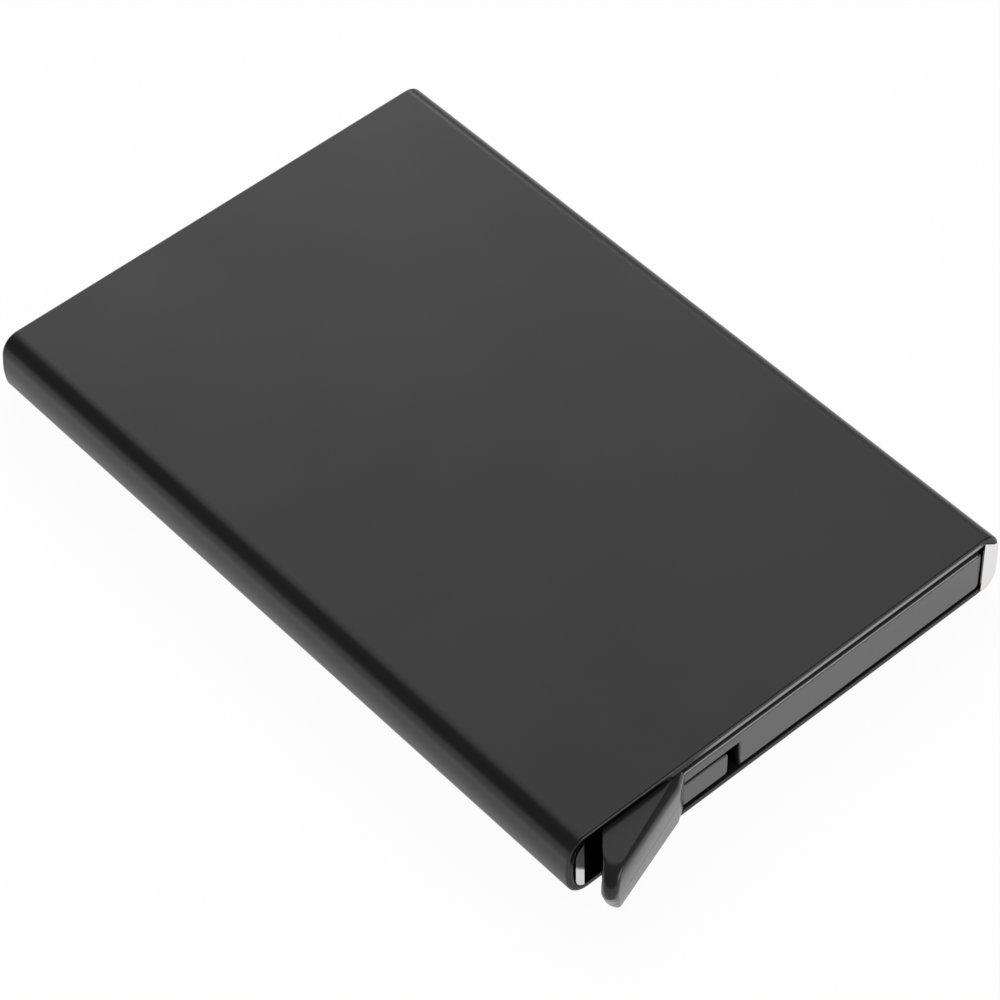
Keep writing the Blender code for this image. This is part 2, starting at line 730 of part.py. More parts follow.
def make_lining(name, low, look):
    """A thin pad with rounded corners, glued to one wide face of the sleeve's inside."""
    half = LINING_WIDTH / 2
    mouth_end = MOUTH_Y - LINING_MOUTH_GAP
    outline = rounded_rectangle(
        -half, half, mouth_end - LINING_LENGTH, mouth_end, LINING_CORNER_RADIUS
    )
    return finish(extruded(outline, low, low + LINING_THICKNESS, "Z"), name, look)


def main():
    anodised = material("anodised_black", (0.045, 0.045, 0.047), 0.38, 0.6)
    moulded = material("moulded_black", (0.035, 0.036, 0.038), 0.5, 0.0)
    lever_plastic = material("lever_black", (0.03, 0.03, 0.032), 0.42, 0.0)
    spring_steel = material("spring_steel", (0.72, 0.72, 0.70), 0.25, 1.0)
    pin_steel = material("pin_steel", (0.6, 0.6, 0.6), 0.3, 1.0)
    lining_felt = material("lining_felt", (0.02, 0.02, 0.02), 0.95, 0.0)

    make_sleeve(anodised)
    make_chassis(moulded)
    make_thumb_lever(lever_plastic)
    make_ejector_arm(lever_plastic)
    make_lever_pin(pin_steel)
    make_ejector_rivet(pin_steel)
    make_brake_spring(-1, spring_steel)
    right_spring = make_brake_spring(1, spring_steel)
    lap_foot_over_wall(right_spring)
    make_lining("back_lining", FLOOR_Z + LINING_GLUE_GAP, lining_felt)
    front_low = CEILING_Z - LINING_GLUE_GAP - LINING_THICKNESS
    make_lining("front_lining", front_low, lining_felt)


for startup_object in list(bpy.data.objects):
    bpy.data.objects.remove(startup_object)
main()
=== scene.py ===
# %% [markdown]
# # A slim pop-up card holder
# This lesson dresses a flat aluminium card holder for a product picture. The solid model already
# has every working part in its true place, so the script adds finer skins, finishes, light and a
# camera. Each step says what the real piece is, how it could be made, and why this way was chosen.

# %% Load the solid model
import math

import bmesh
import bpy
from mathutils import Matrix, Vector


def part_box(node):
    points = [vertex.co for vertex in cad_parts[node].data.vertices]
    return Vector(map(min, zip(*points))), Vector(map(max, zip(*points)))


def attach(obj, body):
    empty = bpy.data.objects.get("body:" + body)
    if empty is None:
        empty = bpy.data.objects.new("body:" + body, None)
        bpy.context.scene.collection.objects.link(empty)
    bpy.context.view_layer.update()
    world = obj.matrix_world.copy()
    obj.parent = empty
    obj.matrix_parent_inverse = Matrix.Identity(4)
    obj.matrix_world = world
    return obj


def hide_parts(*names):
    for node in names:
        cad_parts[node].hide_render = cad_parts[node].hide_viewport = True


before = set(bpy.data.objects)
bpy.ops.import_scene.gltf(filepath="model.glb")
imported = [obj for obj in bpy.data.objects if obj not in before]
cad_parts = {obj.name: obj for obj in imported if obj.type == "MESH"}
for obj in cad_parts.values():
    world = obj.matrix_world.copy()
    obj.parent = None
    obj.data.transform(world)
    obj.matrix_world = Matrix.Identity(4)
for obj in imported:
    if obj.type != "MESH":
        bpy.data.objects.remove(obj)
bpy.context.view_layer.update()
MM = 0.001
print("solid pieces:", ", ".join(sorted(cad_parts)))

# %% [markdown]
# ## Camera
# The picture is taken from above the lever's corner with a long lens, so the edges of the case
# hardly converge. The numbers come from fitting the case's corners. The camera aims at a point on
# the table, from a turn, a height angle and a distance, and leans a little about its own axis.

# %% Camera
TURN = math.radians(-40.28)
HEIGHT_ANGLE = math.radians(49.186)
LEAN = math.radians(-1.701)
REACH = 458.08 * MM
AIM = Vector((-0.496 * MM, -2.422 * MM, 0.0))
LENS_LENGTH = 142.596
FILM_WIDTH = 36.0
NEAREST_SEEN = 10 * MM

level_reach = math.cos(HEIGHT_ANGLE)
towards_camera = Vector(
    (math.sin(TURN) * level_reach, -math.cos(TURN) * level_reach, math.sin(HEIGHT_ANGLE))
)
camera_data = bpy.data.cameras.new("camera")
camera_data.lens = LENS_LENGTH
camera_data.sensor_width = FILM_WIDTH
camera_data.clip_start = NEAREST_SEEN
camera = bpy.data.objects.new("camera", camera_data)
bpy.context.scene.collection.objects.link(camera)
facing = towards_camera.to_track_quat("Z", "Y").to_matrix()
facing = Matrix.Rotation(LEAN, 3, towards_camera) @ facing
camera.matrix_world = Matrix.Translation(AIM + towards_camera * REACH) @ facing.to_4x4()
bpy.context.scene.camera = camera
print("camera stands at", [round(value, 4) for value in camera.location])

# %% [markdown]
# ## Light
# The case lies on seamless white. A dark shiny thing is lit by what it mirrors, so each lamp is
# here for one reflection. The flat top mirrors a wide panel that hangs over and behind it. A
# screen low behind the case makes the far corner lighter than the end with the lever, because that
# corner mirrors a lower part of the studio. A weak screen on the right lifts the edge on that
# side. A low lamp in front lights only what leans forward, such as the small rounded edges.
#
# The sky has three tones: white to the camera, pale for the plain light that it sheds, and nearly
# dark in reflections. The dark one gives each long edge of the top its dark line.

# %% Lamps and world
LAMPS = {
    # name: (place, width and height, power), in metres and watts
    "ceiling_panel": ((0.38, 0.45, 0.88), (1.1, 0.8), 2.68),
    "back_screen": ((0.57, 0.91, 0.53), (0.66, 0.46), 3.8),
    "right_screen": ((1.02, 0.48, 0.41), (0.9, 0.85), 1.1),
    "front_key": ((0.33, -0.86, 0.30), (0.5, 0.44), 2.8),
}
SKY_TO_CAMERA = 1.0
SKY_AS_LIGHT = 0.6
SKY_IN_MIRRORS = 0.12


def area_lamp(name, place, size, power):
    """An oblong soft lamp that looks from its place at the origin, under the case's middle."""
    data = bpy.data.lights.new(name, "AREA")
    data.shape = "RECTANGLE"
    data.size, data.size_y = size
    data.energy = power
    lamp = bpy.data.objects.new(name, data)
    lamp.location = place
    lamp.rotation_euler = Vector(place).to_track_quat("Z", "Y").to_euler()
    bpy.context.scene.collection.objects.link(lamp)


for name, (place, size, power) in LAMPS.items():
    area_lamp(name, place, size, power)

world = bpy.data.worlds.new("studio")
bpy.context.scene.world = world
world.use_nodes = True
sky_nodes = world.node_tree.nodes
sky_links = world.node_tree.links
sky_rays = sky_nodes.new("ShaderNodeLightPath")
mirror_tone = sky_nodes.new("ShaderNodeMapRange")
mirror_tone.inputs["To Min"].default_value = SKY_AS_LIGHT
mirror_tone.inputs["To Max"].default_value = SKY_IN_MIRRORS
sky_links.new(sky_rays.outputs["Is Glossy Ray"], mirror_tone.inputs["Value"])
camera_tone = sky_nodes.new("ShaderNodeMapRange")
camera_tone.inputs["To Max"].default_value = SKY_TO_CAMERA
sky_links.new(sky_rays.outputs["Is Camera Ray"], camera_tone.inputs["Value"])
sky_links.new(mirror_tone.outputs["Result"], camera_tone.inputs["To Min"])
sky_links.new(camera_tone.outputs["Result"], sky_nodes["Background"].inputs["Color"])
bpy.context.scene.view_settings.view_transform = "Standard"

# %% [markdown]
# ## White table
# A photograph on seamless white has no visible horizon. A big plane does it. To the camera it
# glows an almost even white. Mirrored in shiny surfaces it glows less, and the rest is plain white
# paper, whose soft shadow under the case darkens the lowest reflections.

# %% Table
TABLE_HALF_WIDTH = 3.0
PAPER_TONE = 0.86
PAPER_ROUGHNESS = 0.9
CAMERA_GLOW_SHARE = 0.95
MIRROR_GLOW_SHARE = 0.72


def material(name):
    """A new node material and its parts: the tree, its Principled shader and its output."""
    made = bpy.data.materials.new(name)
    made.use_nodes = True
    tree = made.node_tree
    return made, tree, tree.nodes["Principled BSDF"], tree.nodes["Material Output"]


def math_node(tree, operation, first, second=None, clamp=False):
    """A Math node on sockets or plain values. It returns the output socket."""
    node = tree.nodes.new("ShaderNodeMath")
    node.operation = operation
    node.use_clamp = clamp
    for slot, value in zip(node.inputs, (first, second)):
        if value is None:
            continue
        if isinstance(value, (int, float)):
            slot.default_value = value
        else:
            tree.links.new(value, slot)
    return node.outputs["Value"]


table_paper, tree, paper, output = material("table_paper")
paper.inputs["Base Color"].default_value = (PAPER_TONE, PAPER_TONE, PAPER_TONE, 1.0)
paper.inputs["Roughness"].default_value = PAPER_ROUGHNESS
paper.inputs["Specular IOR Level"].default_value = 0.0
glow = tree.nodes.new("ShaderNodeEmission")
glow.inputs["Color"].default_value = (1.0, 1.0, 1.0, 1.0)
rays = tree.nodes.new("ShaderNodeLightPath")
mirrored = math_node(
    tree, "MAXIMUM", rays.outputs["Is Glossy Ray"], rays.outputs["Is Transmission Ray"]
)
mirrored = math_node(tree, "MULTIPLY", mirrored, MIRROR_GLOW_SHARE)
seen = math_node(tree, "MULTIPLY", rays.outputs["Is Camera Ray"], CAMERA_GLOW_SHARE)
seen = math_node(tree, "MAXIMUM", seen, mirrored)
blend = tree.nodes.new("ShaderNodeMixShader")
tree.links.new(seen, blend.inputs["Fac"])
tree.links.new(paper.outputs["BSDF"], blend.inputs[1])
tree.links.new(glow.outputs["Emission"], blend.inputs[2])
tree.links.new(blend.outputs["Shader"], output.inputs["Surface"])

table_mesh = bmesh.new()
bmesh.ops.create_grid(table_mesh, x_segments=1, y_segments=1, size=TABLE_HALF_WIDTH)
table_data = bpy.data.meshes.new("table")
table_mesh.to_mesh(table_data)
table_mesh.free()
table = bpy.data.objects.new("table", table_data)
table_data.materials.append(table_paper)
bpy.context.scene.collection.objects.link(table)
print("table is", 2 * TABLE_HALF_WIDTH, "m wide")

# %% [markdown]
# ## Shared surface effects
# Two effects come back on several finishes. The first is a fine grain with slow blotches, and the
# second finds the edges, where handling and tumbling leave a surface paler. Each is one node group
# with inputs, so a finish only sets its own values. The patterns read Object coordinates, which
# stay put on each piece.

# %% Grain and drift groups
FINE_DETAIL = 3.0
SLOW_DETAIL = 2.0


def effect_group(name, inputs, outputs):
    """An empty node group with named sockets. It returns the tree and its two end nodes."""
    group = bpy.data.node_groups.new(name, "ShaderNodeTree")
    for label, kind, value in inputs:
        socket = group.interface.new_socket(name=label, in_out="INPUT", socket_type=kind)
        socket.default_value = value
    for label, kind in outputs:
        group.interface.new_socket(name=label, in_out="OUTPUT", socket_type=kind)
    return group, group.nodes.new("NodeGroupInput"), group.nodes.new("NodeGroupOutput")


def noise_node(tree, coordinates, scale, detail):
    """A noise whose scale comes from a socket. It returns the output socket."""
    node = tree.nodes.new("ShaderNodeTexNoise")
    node.inputs["Detail"].default_value = detail
    tree.links.new(scale, node.inputs["Scale"])
    tree.links.new(coordinates, node.inputs["Vector"])
    return node.outputs["Fac"]


surface_grain, group_in, group_out = effect_group(
    "surface_grain",
    [("Grain Scale", "NodeSocketFloat", 6000.0), ("Drift Scale", "NodeSocketFloat", 60.0)],
    [("Grain", "NodeSocketFloat"), ("Drift", "NodeSocketFloat")],
)
place = surface_grain.nodes.new("ShaderNodeTexCoord").outputs["Object"]
grain = noise_node(surface_grain, place, group_in.outputs["Grain Scale"], FINE_DETAIL)
drift = noise_node(surface_grain, place, group_in.outputs["Drift Scale"], SLOW_DETAIL)
surface_grain.links.new(grain, group_out.inputs["Grain"])
surface_grain.links.new(drift, group_out.inputs["Drift"])
print("group sockets:", [item.name for item in surface_grain.interface.items_tree])

# %% [markdown]
# The edge finder compares the true surface direction with the one that a Bevel node gives, which
# looks a short way round each point. Where they differ, an edge is near. A noise breaks the line
# up, because real edges never wear evenly.

# %% Edge group
EDGE_SAMPLES = 4
EDGE_THRESHOLD = 0.03
EDGE_CONTRAST = 8.0

edge_finder, group_in, group_out = effect_group(
    "edge_finder",
    [("Reach", "NodeSocketFloat", 0.2 * MM), ("Patch Scale", "NodeSocketFloat", 400.0)],
    [("Edge", "NodeSocketFloat")],
)
around = edge_finder.nodes.new("ShaderNodeBevel")
around.samples = EDGE_SAMPLES
edge_finder.links.new(group_in.outputs["Reach"], around.inputs["Radius"])
surface = edge_finder.nodes.new("ShaderNodeNewGeometry")
compare = edge_finder.nodes.new("ShaderNodeVectorMath")
compare.operation = "DOT_PRODUCT"
edge_finder.links.new(around.outputs["Normal"], compare.inputs[0])
edge_finder.links.new(surface.outputs["Normal"], compare.inputs[1])
turned = math_node(edge_finder, "SUBTRACT", 1.0, compare.outputs["Value"], clamp=True)
turned = math_node(edge_finder, "SUBTRACT", turned, EDGE_THRESHOLD, clamp=True)
turned = math_node(edge_finder, "MULTIPLY", turned, EDGE_CONTRAST, clamp=True)
place = edge_finder.nodes.new("ShaderNodeTexCoord").outputs["Object"]
patches = noise_node(edge_finder, place, group_in.outputs["Patch Scale"], FINE_DETAIL)
worn = math_node(edge_finder, "MULTIPLY", turned, patches)
edge_finder.links.new(worn, group_out.inputs["Edge"])
print("edge sockets:", [item.name for item in edge_finder.interface.items_tree])

# %% [markdown]
# A black finish still changes over the surface: its colour and roughness drift a little, its grain
# stands up by some thousandths of a millimetre, and its edges are paler. These helpers wire both
# groups to a Principled shader, so that a finish is one call with its own greys and grain.

# %% Finish helper
GRAIN_STRENGTH = 0.4


def spread(tree, value, low, high, start=0.0, end=1.0):
    """Map a value that runs from start to end onto a range that runs from low to high."""
    node = tree.nodes.new("ShaderNodeMapRange")
    ends = (("From Min", start), ("From Max", end), ("To Min", low), ("To Max", high))
    for label, amount in ends:
        node.inputs[label].default_value = amount
    tree.links.new(value, node.inputs["Value"])
    return node.outputs["Result"]


def soft_step(tree, value, start, end):
    """A mask that rises softly from 0 where the value is start to 1 where it is end."""
    mask = spread(tree, value, 0.0, 1.0, start, end)
    mask.node.interpolation_type = "SMOOTHSTEP"
    return mask


def two_colors(tree, factor, first, second):
    """Mix two colours, each a plain one or a socket. It returns the output socket."""
    node = tree.nodes.new("ShaderNodeMix")
    node.data_type = "RGBA"
    for label, value in (("A", first), ("B", second)):
        socket = next(s for s in node.inputs if s.name == label and s.type == "RGBA")
        if isinstance(value, tuple):
            socket.default_value = (*value, 1.0)
        else:
            tree.links.new(value, socket)
    tree.links.new(factor, node.inputs["Factor"])
    return next(s for s in node.outputs if s.type == "RGBA")


def effect_node(tree, group, **values):
    """A group placed in a material, with its own values."""
    node = tree.nodes.new("ShaderNodeGroup")
    node.node_tree = group
    for label, value in values.items():
        node.inputs[label.replace("_", " ")].default_value = value
    return node


def add_bump(tree, shader, height, depth, strength):
    """Let a pattern stand up from the surface by a depth."""
    bump = tree.nodes.new("ShaderNodeBump")
    bump.inputs["Distance"].default_value = depth
    bump.inputs["Strength"].default_value = strength
    tree.links.new(height, bump.inputs["Height"])
    tree.links.new(bump.outputs["Normal"], shader.inputs["Normal"])


def grained_finish(name, dark, light, edge, rough, metallic, grain_scale, grain_height):
    """A finish whose grain moves its colour, roughness and height, and whose edges are paler."""
    made, tree, shader, _ = material(name)
    effect = effect_node(tree, surface_grain, Grain_Scale=grain_scale)
    edges = effect_node(tree, edge_finder).outputs["Edge"]
    color = two_colors(tree, effect.outputs["Drift"], dark, light)
    color = two_colors(tree, edges, color, edge)
    tree.links.new(color, shader.inputs["Base Color"])
    tree.links.new(spread(tree, effect.outputs["Drift"], *rough), shader.inputs["Roughness"])
    shader.inputs["Metallic"].default_value = metallic
    add_bump(tree, shader, effect.outputs["Grain"], grain_height, GRAIN_STRENGTH)
    return made, tree, shader


def grey(value, warmth=0.0):
    """A grey, a little warmer or cooler."""
    return (value * (1 + warmth), value, value * (1 - warmth))


print("helpers: spread, soft_step, two_colors, effect_node, add_bump, grained_finish, grey")

# %% [markdown]
# ## The sleeve's finishes
# The sleeve is drawn aluminium, lightly blasted and dyed black. The dye lets some of the metal's
# mirror through, so the finish is set between a plastic and a metal: dark, with a soft mirror.

# %% Dyed sleeve
anodised_black, _, _ = grained_finish(
    "anodised_black",
    dark=grey(0.024),
    light=grey(0.031),
    edge=grey(0.045),
    rough=(0.28, 0.33),
    metallic=0.6,
    grain_scale=5000,
    grain_height=0.004 * MM,
)
print("sleeve finish:", anodised_black.name)

# %% [markdown]
# The two cut ends of the sleeve are bare metal, which gives the pale line beside the cap along the
# upper lip. Everywhere else the cut face is painted near black. This is painted shade for the
# shadow and the dark reflections that the lever and the case throw there. Three soft masks keep the
# bare
# metal to the lip: one by height, one that ends before the rounded corners, and one that ends
# before the lever.

# %% Cut ends and their painted shade
LIP_PAINTED_SHADE_HEIGHT, LIP_BARE_HEIGHT = 7.0 * MM, 8.4 * MM
CORNER_PAINTED_SHADE_X, CORNER_BARE_X = 30.5 * MM, 29.0 * MM
LEVER_PAINTED_SHADE_X, LEVER_BARE_X = -15.0 * MM, -10.5 * MM
# The near-black colour of the cut face away from the upper lip is painted shade.
CUT_PAINTED_SHADE = grey(0.012)

cut_aluminium_painted_shade, tree, shader = grained_finish(
    "cut_aluminium_painted_shade",
    dark=grey(0.24),
    light=grey(0.29),
    edge=grey(0.3),
    rough=(0.16, 0.22),
    metallic=1.0,
    grain_scale=9000,
    grain_height=0.002 * MM,
)
spot = tree.nodes.new("ShaderNodeSeparateXYZ")
tree.links.new(tree.nodes.new("ShaderNodeTexCoord").outputs["Object"], spot.inputs["Vector"])
sideways = math_node(tree, "ABSOLUTE", spot.outputs["X"])
# This mask is 1 on the bare lip and falls to 0 where the painted shade goes.
unshaded_share = soft_step(tree, spot.outputs["Z"], LIP_PAINTED_SHADE_HEIGHT, LIP_BARE_HEIGHT)
for value, full_shade_at, bare in (
    (sideways, CORNER_PAINTED_SHADE_X, CORNER_BARE_X),
    (spot.outputs["X"], LEVER_PAINTED_SHADE_X, LEVER_BARE_X),
):
    unshaded_share = math_node(tree, "MULTIPLY", unshaded_share, soft_step(tree, value, full_shade_at, bare))
bare_metal = shader.inputs["Base Color"].links[0].from_socket
# Where the mask is 0, the cut face takes the painted shade colour instead of the metal.
cut_color_with_shade = two_colors(tree, unshaded_share, CUT_PAINTED_SHADE, bare_metal)
tree.links.new(cut_color_with_shade, shader.inputs["Base Color"])
print("finish of the cut ends:", cut_aluminium_painted_shade.name)

# %% [markdown]
# ## Black plastic
# The moulding and the lever are black plastic with a satin tool finish. The lever's top looks
# dull and its steep face bright, more so than one even gloss gives. So its gloss is low where it
# is seen straight on and grows where it is seen at a slant.

# %% Plastic finishes
MOULDING_GLOSS = 0.9
LEVER_SLANT_START, LEVER_SLANT_END = 0.35, 0.75
LEVER_GLOSS_LOW, LEVER_GLOSS_HIGH = 0.35, 1.8

moulded_black, _, shader = grained_finish(
    "moulded_black",
    dark=grey(0.030),
    light=grey(0.038),
    edge=grey(0.06),
    rough=(0.16, 0.20),
    metallic=0.0,
    grain_scale=2500,
    grain_height=0.01 * MM,
)
shader.inputs["Specular IOR Level"].default_value = MOULDING_GLOSS
lever_black, tree, shader = grained_finish(
    "lever_black",
    dark=grey(0.014),
    light=grey(0.019),
    edge=grey(0.04),
    rough=(0.20, 0.26),
    metallic=0.0,
    grain_scale=2500,
    grain_height=0.008 * MM,
)
view_angle = tree.nodes.new("ShaderNodeLayerWeight")
view_angle.inputs["Blend"].default_value = 0.5
gloss = spread(
    tree,
    view_angle.outputs["Facing"],
    LEVER_GLOSS_LOW,
    LEVER_GLOSS_HIGH,
    LEVER_SLANT_START,
    LEVER_SLANT_END,
)
tree.links.new(gloss, shader.inputs["Specular IOR Level"])
print("plastic finishes:", moulded_black.name, lever_black.name)

# %% [markdown]
# ## Steel
# The brake springs are bright rolled strip, very slightly warm. The pin and the rivet are ground
# steel, which is darker and less of a mirror.

# %% Steel finishes
SPRING_WARMTH = 0.02

spring_steel, _, _ = grained_finish(
    "spring_steel",
    dark=grey(0.76, SPRING_WARMTH),
    light=grey(0.82, SPRING_WARMTH),
    edge=grey(0.85),
    rough=(0.10, 0.16),
    metallic=1.0,
    grain_scale=3000,
    grain_height=0.003 * MM,
)
pin_steel, _, _ = grained_finish(
    "pin_steel",
    dark=grey(0.58),
    light=grey(0.66),
    edge=grey(0.7),
    rough=(0.25, 0.35),
    metallic=1.0,
    grain_scale=3000,
    grain_height=0.004 * MM,
)
print("finishes so far:", [made.name for made in bpy.data.materials])

# %% [markdown]
# ## Skins
# The solids carry facets, because a working model wants few faces. A skin is the same shape with
# clean smooth shading. For most pieces, a merged copy of the solid does it. Weighted normals keep
# the large flat faces flat up to their rounded edges.

# %% Skin helper
SMOOTH_ANGLE = 35
FELT_SMOOTH_ANGLE = 60
FLAT_FACE_WEIGHT = 50
MERGE_DISTANCE = 0.001 * MM
SAME_PLANE_ANGLE = 0.5


def add_piece(name, mesh, look, body, smooth_angle=SMOOTH_ANGLE):
    """Turn a bmesh into a finished piece that rides on a body of the model."""
    data = bpy.data.meshes.new(name)
    mesh.to_mesh(data)
    mesh.free()
    data.materials.append(look)
    data.shade_smooth()
    data.set_sharp_from_angle(angle=math.radians(smooth_angle))
    piece = bpy.data.objects.new(name, data)
    bpy.context.scene.collection.objects.link(piece)
    flatten = piece.modifiers.new("flat_faces_stay_flat", "WEIGHTED_NORMAL")
    flatten.keep_sharp = True
    flatten.weight = FLAT_FACE_WEIGHT
    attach(piece, body)
    return piece


def merged_copy(node):
    """A copy of a solid with its loose triangles joined and its flat faces made whole."""
    mesh = bmesh.new()
    mesh.from_mesh(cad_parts[node].data)
    bmesh.ops.remove_doubles(mesh, verts=mesh.verts, dist=MERGE_DISTANCE)
    bmesh.ops.dissolve_limit(
        mesh, angle_limit=math.radians(SAME_PLANE_ANGLE), verts=mesh.verts, edges=mesh.edges
    )
    return mesh


def skin(node, look, body, mesh=None):
    """A piece that takes a solid's place: its merged copy, or a mesh made from that."""
    piece = add_piece(f"{node}_skin", mesh or merged_copy(node), look, body)
    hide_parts(node)


print("helpers: add_piece, merged_copy, skin")

# %% [markdown]
# ## Chassis
# One moulding closes the lever end with its cap. A dark line runs between the cap and the sleeve's
# upper lip. The points round the cap's top edge are found by their height and depth, and moved down
# a little, which opens that line.

# %% Chassis
CAP_TOP_LOW, CAP_TOP_HIGH = 6.65 * MM, 7.6 * MM
CAP_TOP_DROP = 0.3 * MM
CAP_EDGE_DEPTH = 1.1 * MM

mesh = merged_copy("chassis")
cap_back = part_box("sleeve")[0].y + CAP_EDGE_DEPTH
cap_rim = [
    vert for vert in mesh.verts if CAP_TOP_LOW < vert.co.z < CAP_TOP_HIGH and vert.co.y < cap_back
]
bmesh.ops.translate(mesh, verts=cap_rim, vec=Vector((0.0, 0.0, -CAP_TOP_DROP)))
skin("chassis", moulded_black, "case", mesh)
print("cap rim points:", len(cap_rim))

# %% [markdown]
# ## Arm, pins and springs
# The stepped arm swings the cards out, the pin and the rivet are what lever and arm turn on, and
# the two springs hold the cards. Their solids have the full shape, so a clean skin is enough. The
# arm is moulded of the same plastic as the lever.

# %% Arm, pins and springs
skin("ejector_arm", lever_black, "ejector")
skin("thumb_lever_pin", pin_steel, "case")
skin("ejector_arm_rivet", pin_steel, "case")
skin("left_brake_spring", spring_steel, "case")
skin("right_brake_spring", spring_steel, "case")

# %% [markdown]
# ## Thumb lever
# The lever comes out of a mould of two halves, and a faint line runs round the paddle where they
# met. Three level cuts through the merged copy give the line its points, and the middle ones are
# pulled in by a hair. The slopes are left smooth, so it shows as a soft thread of shade.
#
# The solid's nose is a little too full below its top. Each point there is drawn in by as much as a
# quarter circle stands out over its chord, which is nothing at the top and at the foot and most in
# between. The pull fades out away from the tip.

# %% Thumb lever
PARTING_HEIGHT = 4.7 * MM
PARTING_HALF_WIDTH = 0.06 * MM
PARTING_DEPTH = 0.03 * MM
PADDLE_LENGTH = 15.0 * MM
NOSE_FULL_HEIGHT, NOSE_TAPER_HEIGHT = 5.05 * MM, 4.0 * MM
NOSE_WIDTH = 1.95 * MM
NOSE_DEPTH = 3 * NOSE_WIDTH
NOSE_BLEND_SHARE = 0.75
NOSE_PULL = Vector((1.4, 1.0, 0.0)) * MM
UP = Vector((0.0, 0.0, 1.0))


def cut_through(mesh, spot, direction):
    """Cut a whole mesh with a plane, which adds points and edges and leaves the shape alone."""
    everything = [*mesh.verts, *mesh.edges, *mesh.faces]
    bmesh.ops.bisect_plane(mesh, geom=everything, plane_co=spot, plane_no=direction)


mesh = merged_copy("thumb_lever")
nose_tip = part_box("thumb_lever")[0]
for offset in (-PARTING_HALF_WIDTH, 0.0, PARTING_HALF_WIDTH):
    cut_through(mesh, UP * (PARTING_HEIGHT + offset), UP)
mesh.normal_update()
line = [
    vert
    for vert in mesh.verts
    if abs(vert.co.z - PARTING_HEIGHT) < PARTING_HALF_WIDTH / 2
    and vert.co.x < nose_tip.x + PADDLE_LENGTH
]
for vert in line:
    vert.co -= vert.normal * PARTING_DEPTH
for vert in mesh.verts:
    low_share = (NOSE_FULL_HEIGHT - vert.co.z) / NOSE_TAPER_HEIGHT
    near_share = (nose_tip.x + NOSE_WIDTH - vert.co.x) / (NOSE_WIDTH * NOSE_BLEND_SHARE)
    if 0.0 < low_share < 1.0 and near_share > 0.0 and vert.co.y < nose_tip.y + NOSE_DEPTH:
        slack = low_share - 1.0 + math.sqrt(1.0 - low_share**2)
        vert.co += NOSE_PULL * (slack * min(near_share, 1.0))
skin("thumb_lever", lever_black, "lever", mesh)
print("parting line points:", len(line))

# %% [markdown]
# ## Sleeve
# The real sleeve is a flat oval of drawn tube, cut to length, so its shape is one outline carried
# straight along. A stretched cube gives it: its ends are taken off, and its upper long edges are
# rounded a little tighter than the lower ones. The sides aren't quite flat. They swell by a
# fraction of a millimetre, so that their reflection fades from dark at the top to light at the
# bottom. Level cuts give them the points for that, and then the shell gets its wall. The fine
# rounding is what the solid lacks, and it carries the long thin reflections along the sides.

# %% Sleeve shape
WALL = 0.9 * MM
TOP_RADIUS = 2.4 * MM
BOTTOM_RADIUS = 2.9 * MM
CORNER_SEGMENTS = 14
OUTER_EDGE_BREAK = 0.3 * MM
INNER_EDGE_BREAK = 0.06 * MM
BREAK_SEGMENTS = 4
SIDE_SWELL = 0.26 * MM
SIDE_SWELL_REACH = 3.6 * MM
SIDE_INSET = 0.06 * MM
SIDE_CUTS = 5
SIDE_CUT_STEP = 0.35 * MM
SQUARE_TO_END = 0.99
LEVEL_SLACK = 0.1 * MM


def box_mesh(low, high):
    """A bmesh cube stretched between two corners."""
    mesh = bmesh.new()
    bmesh.ops.create_cube(mesh, size=1.0)
    bmesh.ops.scale(mesh, verts=mesh.verts, vec=Vector(high) - Vector(low))
    bmesh.ops.translate(mesh, verts=mesh.verts, vec=(Vector(low) + Vector(high)) / 2)
    return mesh


def round_edges(mesh, edges, radius, segments):
    """Round some edges of a mesh with quarter circles."""
    bmesh.ops.bevel(
        mesh,
        geom=edges,
        offset=radius,
        segments=segments,
        profile=0.5,
        affect="EDGES",
        material=-1,
        clamp_overlap=True,
    )


def faces_end(face):
    """Does the face look along the sleeve, out of one of its ends?"""
    return abs(face.normal.y) > SQUARE_TO_END


sleeve_low, sleeve_high = (Vector(corner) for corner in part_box("sleeve"))
half_height = sleeve_high.z / 2
mesh = box_mesh(sleeve_low, sleeve_high)
bmesh.ops.delete(mesh, geom=[face for face in mesh.faces if faces_end(face)], context="FACES")
for level, radius in ((sleeve_high.z, TOP_RADIUS), (sleeve_low.z, BOTTOM_RADIUS)):
    long_edges = [
        edge
        for edge in mesh.edges
        if len(edge.link_faces) == 2 and abs(edge.verts[0].co.z - level) < LEVEL_SLACK
    ]
    round_edges(mesh, long_edges, radius, CORNER_SEGMENTS)
for step in range(1 - SIDE_CUTS, SIDE_CUTS):
    cut_through(mesh, UP * (half_height + step * SIDE_CUT_STEP), UP)
for vert in mesh.verts:
    share = min(abs(vert.co.z - half_height) / SIDE_SWELL_REACH, 1.0)
    bulge = SIDE_SWELL * math.cos(math.pi / 2 * share) ** 2 - SIDE_INSET
    vert.co.x += math.copysign(1.0, vert.co.x) * bulge
bmesh.ops.recalc_face_normals(mesh, faces=mesh.faces)
bmesh.ops.solidify(mesh, geom=list(mesh.faces), thickness=WALL)
mesh.normal_update()
print("sleeve shell:", len(mesh.faces), "faces")

# %% [markdown]
# The saw leaves each end with sharp edges, which are then broken: the outer ones more, the inner
# ones by a hair. An edge of a cut end lies between the end face and one wall, and it is an outer
# one where that wall looks away from the sleeve's middle. The flat of each end gets the cut finish.

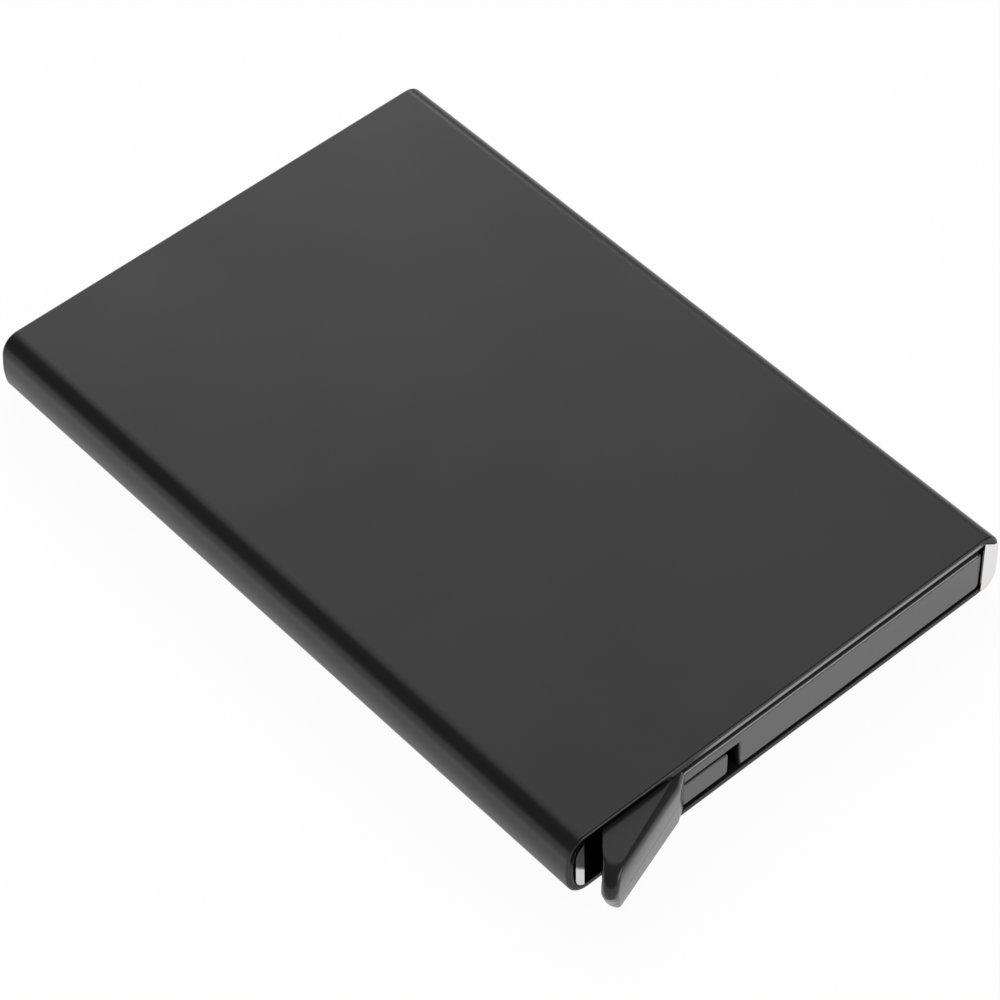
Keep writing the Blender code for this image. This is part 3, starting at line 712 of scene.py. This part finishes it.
# %% Sleeve ends
sleeve_middle = (sleeve_low + sleeve_high) / 2
outer_edges, inner_edges = [], []
for edge in mesh.edges:
    walls = [face for face in edge.link_faces if not faces_end(face)]
    if len(walls) == 1:
        looks_out = walls[0].normal.dot(walls[0].calc_center_median() - sleeve_middle) > 0
        (outer_edges if looks_out else inner_edges).append(edge)
print("rims:", len(outer_edges), "outer,", len(inner_edges), "inner")
round_edges(mesh, outer_edges, OUTER_EDGE_BREAK, BREAK_SEGMENTS)
inner_edges = [edge for edge in inner_edges if edge.is_valid]
round_edges(mesh, inner_edges, INNER_EDGE_BREAK, BREAK_SEGMENTS)
mesh.normal_update()
for face in mesh.faces:
    face.material_index = 1 if faces_end(face) else 0
sleeve_skin = add_piece("sleeve_skin", mesh, anodised_black, "case")
sleeve_skin.data.materials.append(cut_aluminium_painted_shade)
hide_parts("sleeve")
print("sleeve:", [round(side / MM, 2) for side in sleeve_skin.dimensions], "mm")

# %% [markdown]
# ## Felt
# Two pads of thin felt keep the cards from rattling. Felt has no weave: it is a mat of short
# fibres, so its surface is mottled, nearly without gloss, and paler where it is seen at a slant. A
# fine grain mixes the two greys and stands up as the nap, and a sheen gives the pale bloom.

# %% Felt finish
FIBRE_SCALE, MOTTLE_SCALE = 3500, 350
FIBRE_DARK, FIBRE_LIGHT = grey(0.012), grey(0.05)
FELT_ROUGH_LOW, FELT_ROUGH_HIGH = 0.85, 1.0
FELT_GLOSS = 0.2
FELT_SHEEN = 0.4
FELT_SHEEN_ROUGH = 0.5
NAP_DEPTH = 0.1 * MM
NAP_STRENGTH = 0.8

felt, tree, shader, _ = material("lining_felt")
fibres = effect_node(tree, surface_grain, Grain_Scale=FIBRE_SCALE, Drift_Scale=MOTTLE_SCALE)
color = two_colors(tree, fibres.outputs["Grain"], FIBRE_DARK, FIBRE_LIGHT)
tree.links.new(color, shader.inputs["Base Color"])
roughness = spread(tree, fibres.outputs["Drift"], FELT_ROUGH_LOW, FELT_ROUGH_HIGH)
tree.links.new(roughness, shader.inputs["Roughness"])
shader.inputs["Specular IOR Level"].default_value = FELT_GLOSS
shader.inputs["Sheen Weight"].default_value = FELT_SHEEN
shader.inputs["Sheen Roughness"].default_value = FELT_SHEEN_ROUGH
add_bump(tree, shader, fibres.outputs["Grain"], NAP_DEPTH, NAP_STRENGTH)
print("felt finish:", felt.name)

# %% [markdown]
# ## Linings
# Each pad is glued down inside the sleeve behind the mouth, so its free face looks into the pocket.
# It is a thin slab with rounded edges. Cuts a millimetre apart give the free face its points, and
# two crossing waves make it sink here and there by some hundredths of a millimetre.

# %% Linings
FELT_STEP = 1.0 * MM
FELT_ROUND = 0.15 * MM
FELT_ROUND_SEGMENTS = 2
FELT_SWELL = 0.03 * MM
RADIANS_PER_MM_ACROSS, RADIANS_PER_MM_ALONG = 1.3, 0.9
WAVE_START = 1.0


def felt_pad(node, inward):
    """A pad in its solid's place. Its free face, on the inward side, sinks a little in places."""
    low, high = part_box(node)
    mesh = box_mesh(low, high)
    round_edges(mesh, list(mesh.edges), FELT_ROUND, FELT_ROUND_SEGMENTS)
    size = high[0] - low[0], high[1] - low[1]
    for axis in (0, 1):
        for step in range(1, round(size[axis] / FELT_STEP)):
            spot, cut = Vector((0.0, 0.0, 0.0)), Vector((0.0, 0.0, 0.0))
            spot[axis] = low[axis] + step * FELT_STEP
            cut[axis] = 1.0
            cut_through(mesh, spot, cut)
    free_height = high[2] if inward > 0 else low[2]
    for vert in mesh.verts:
        if abs(vert.co.z - free_height) < FELT_ROUND:
            across = math.sin(vert.co.x / MM * RADIANS_PER_MM_ACROSS)
            along = math.sin(vert.co.y / MM * RADIANS_PER_MM_ALONG + WAVE_START)
            vert.co.z -= inward * FELT_SWELL * (1 + across * along) / 2
    pad = add_piece(f"{node}_felt", mesh, felt, "case", FELT_SMOOTH_ANGLE)
    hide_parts(node)


felt_pad("front_lining", -1)
felt_pad("back_lining", 1)
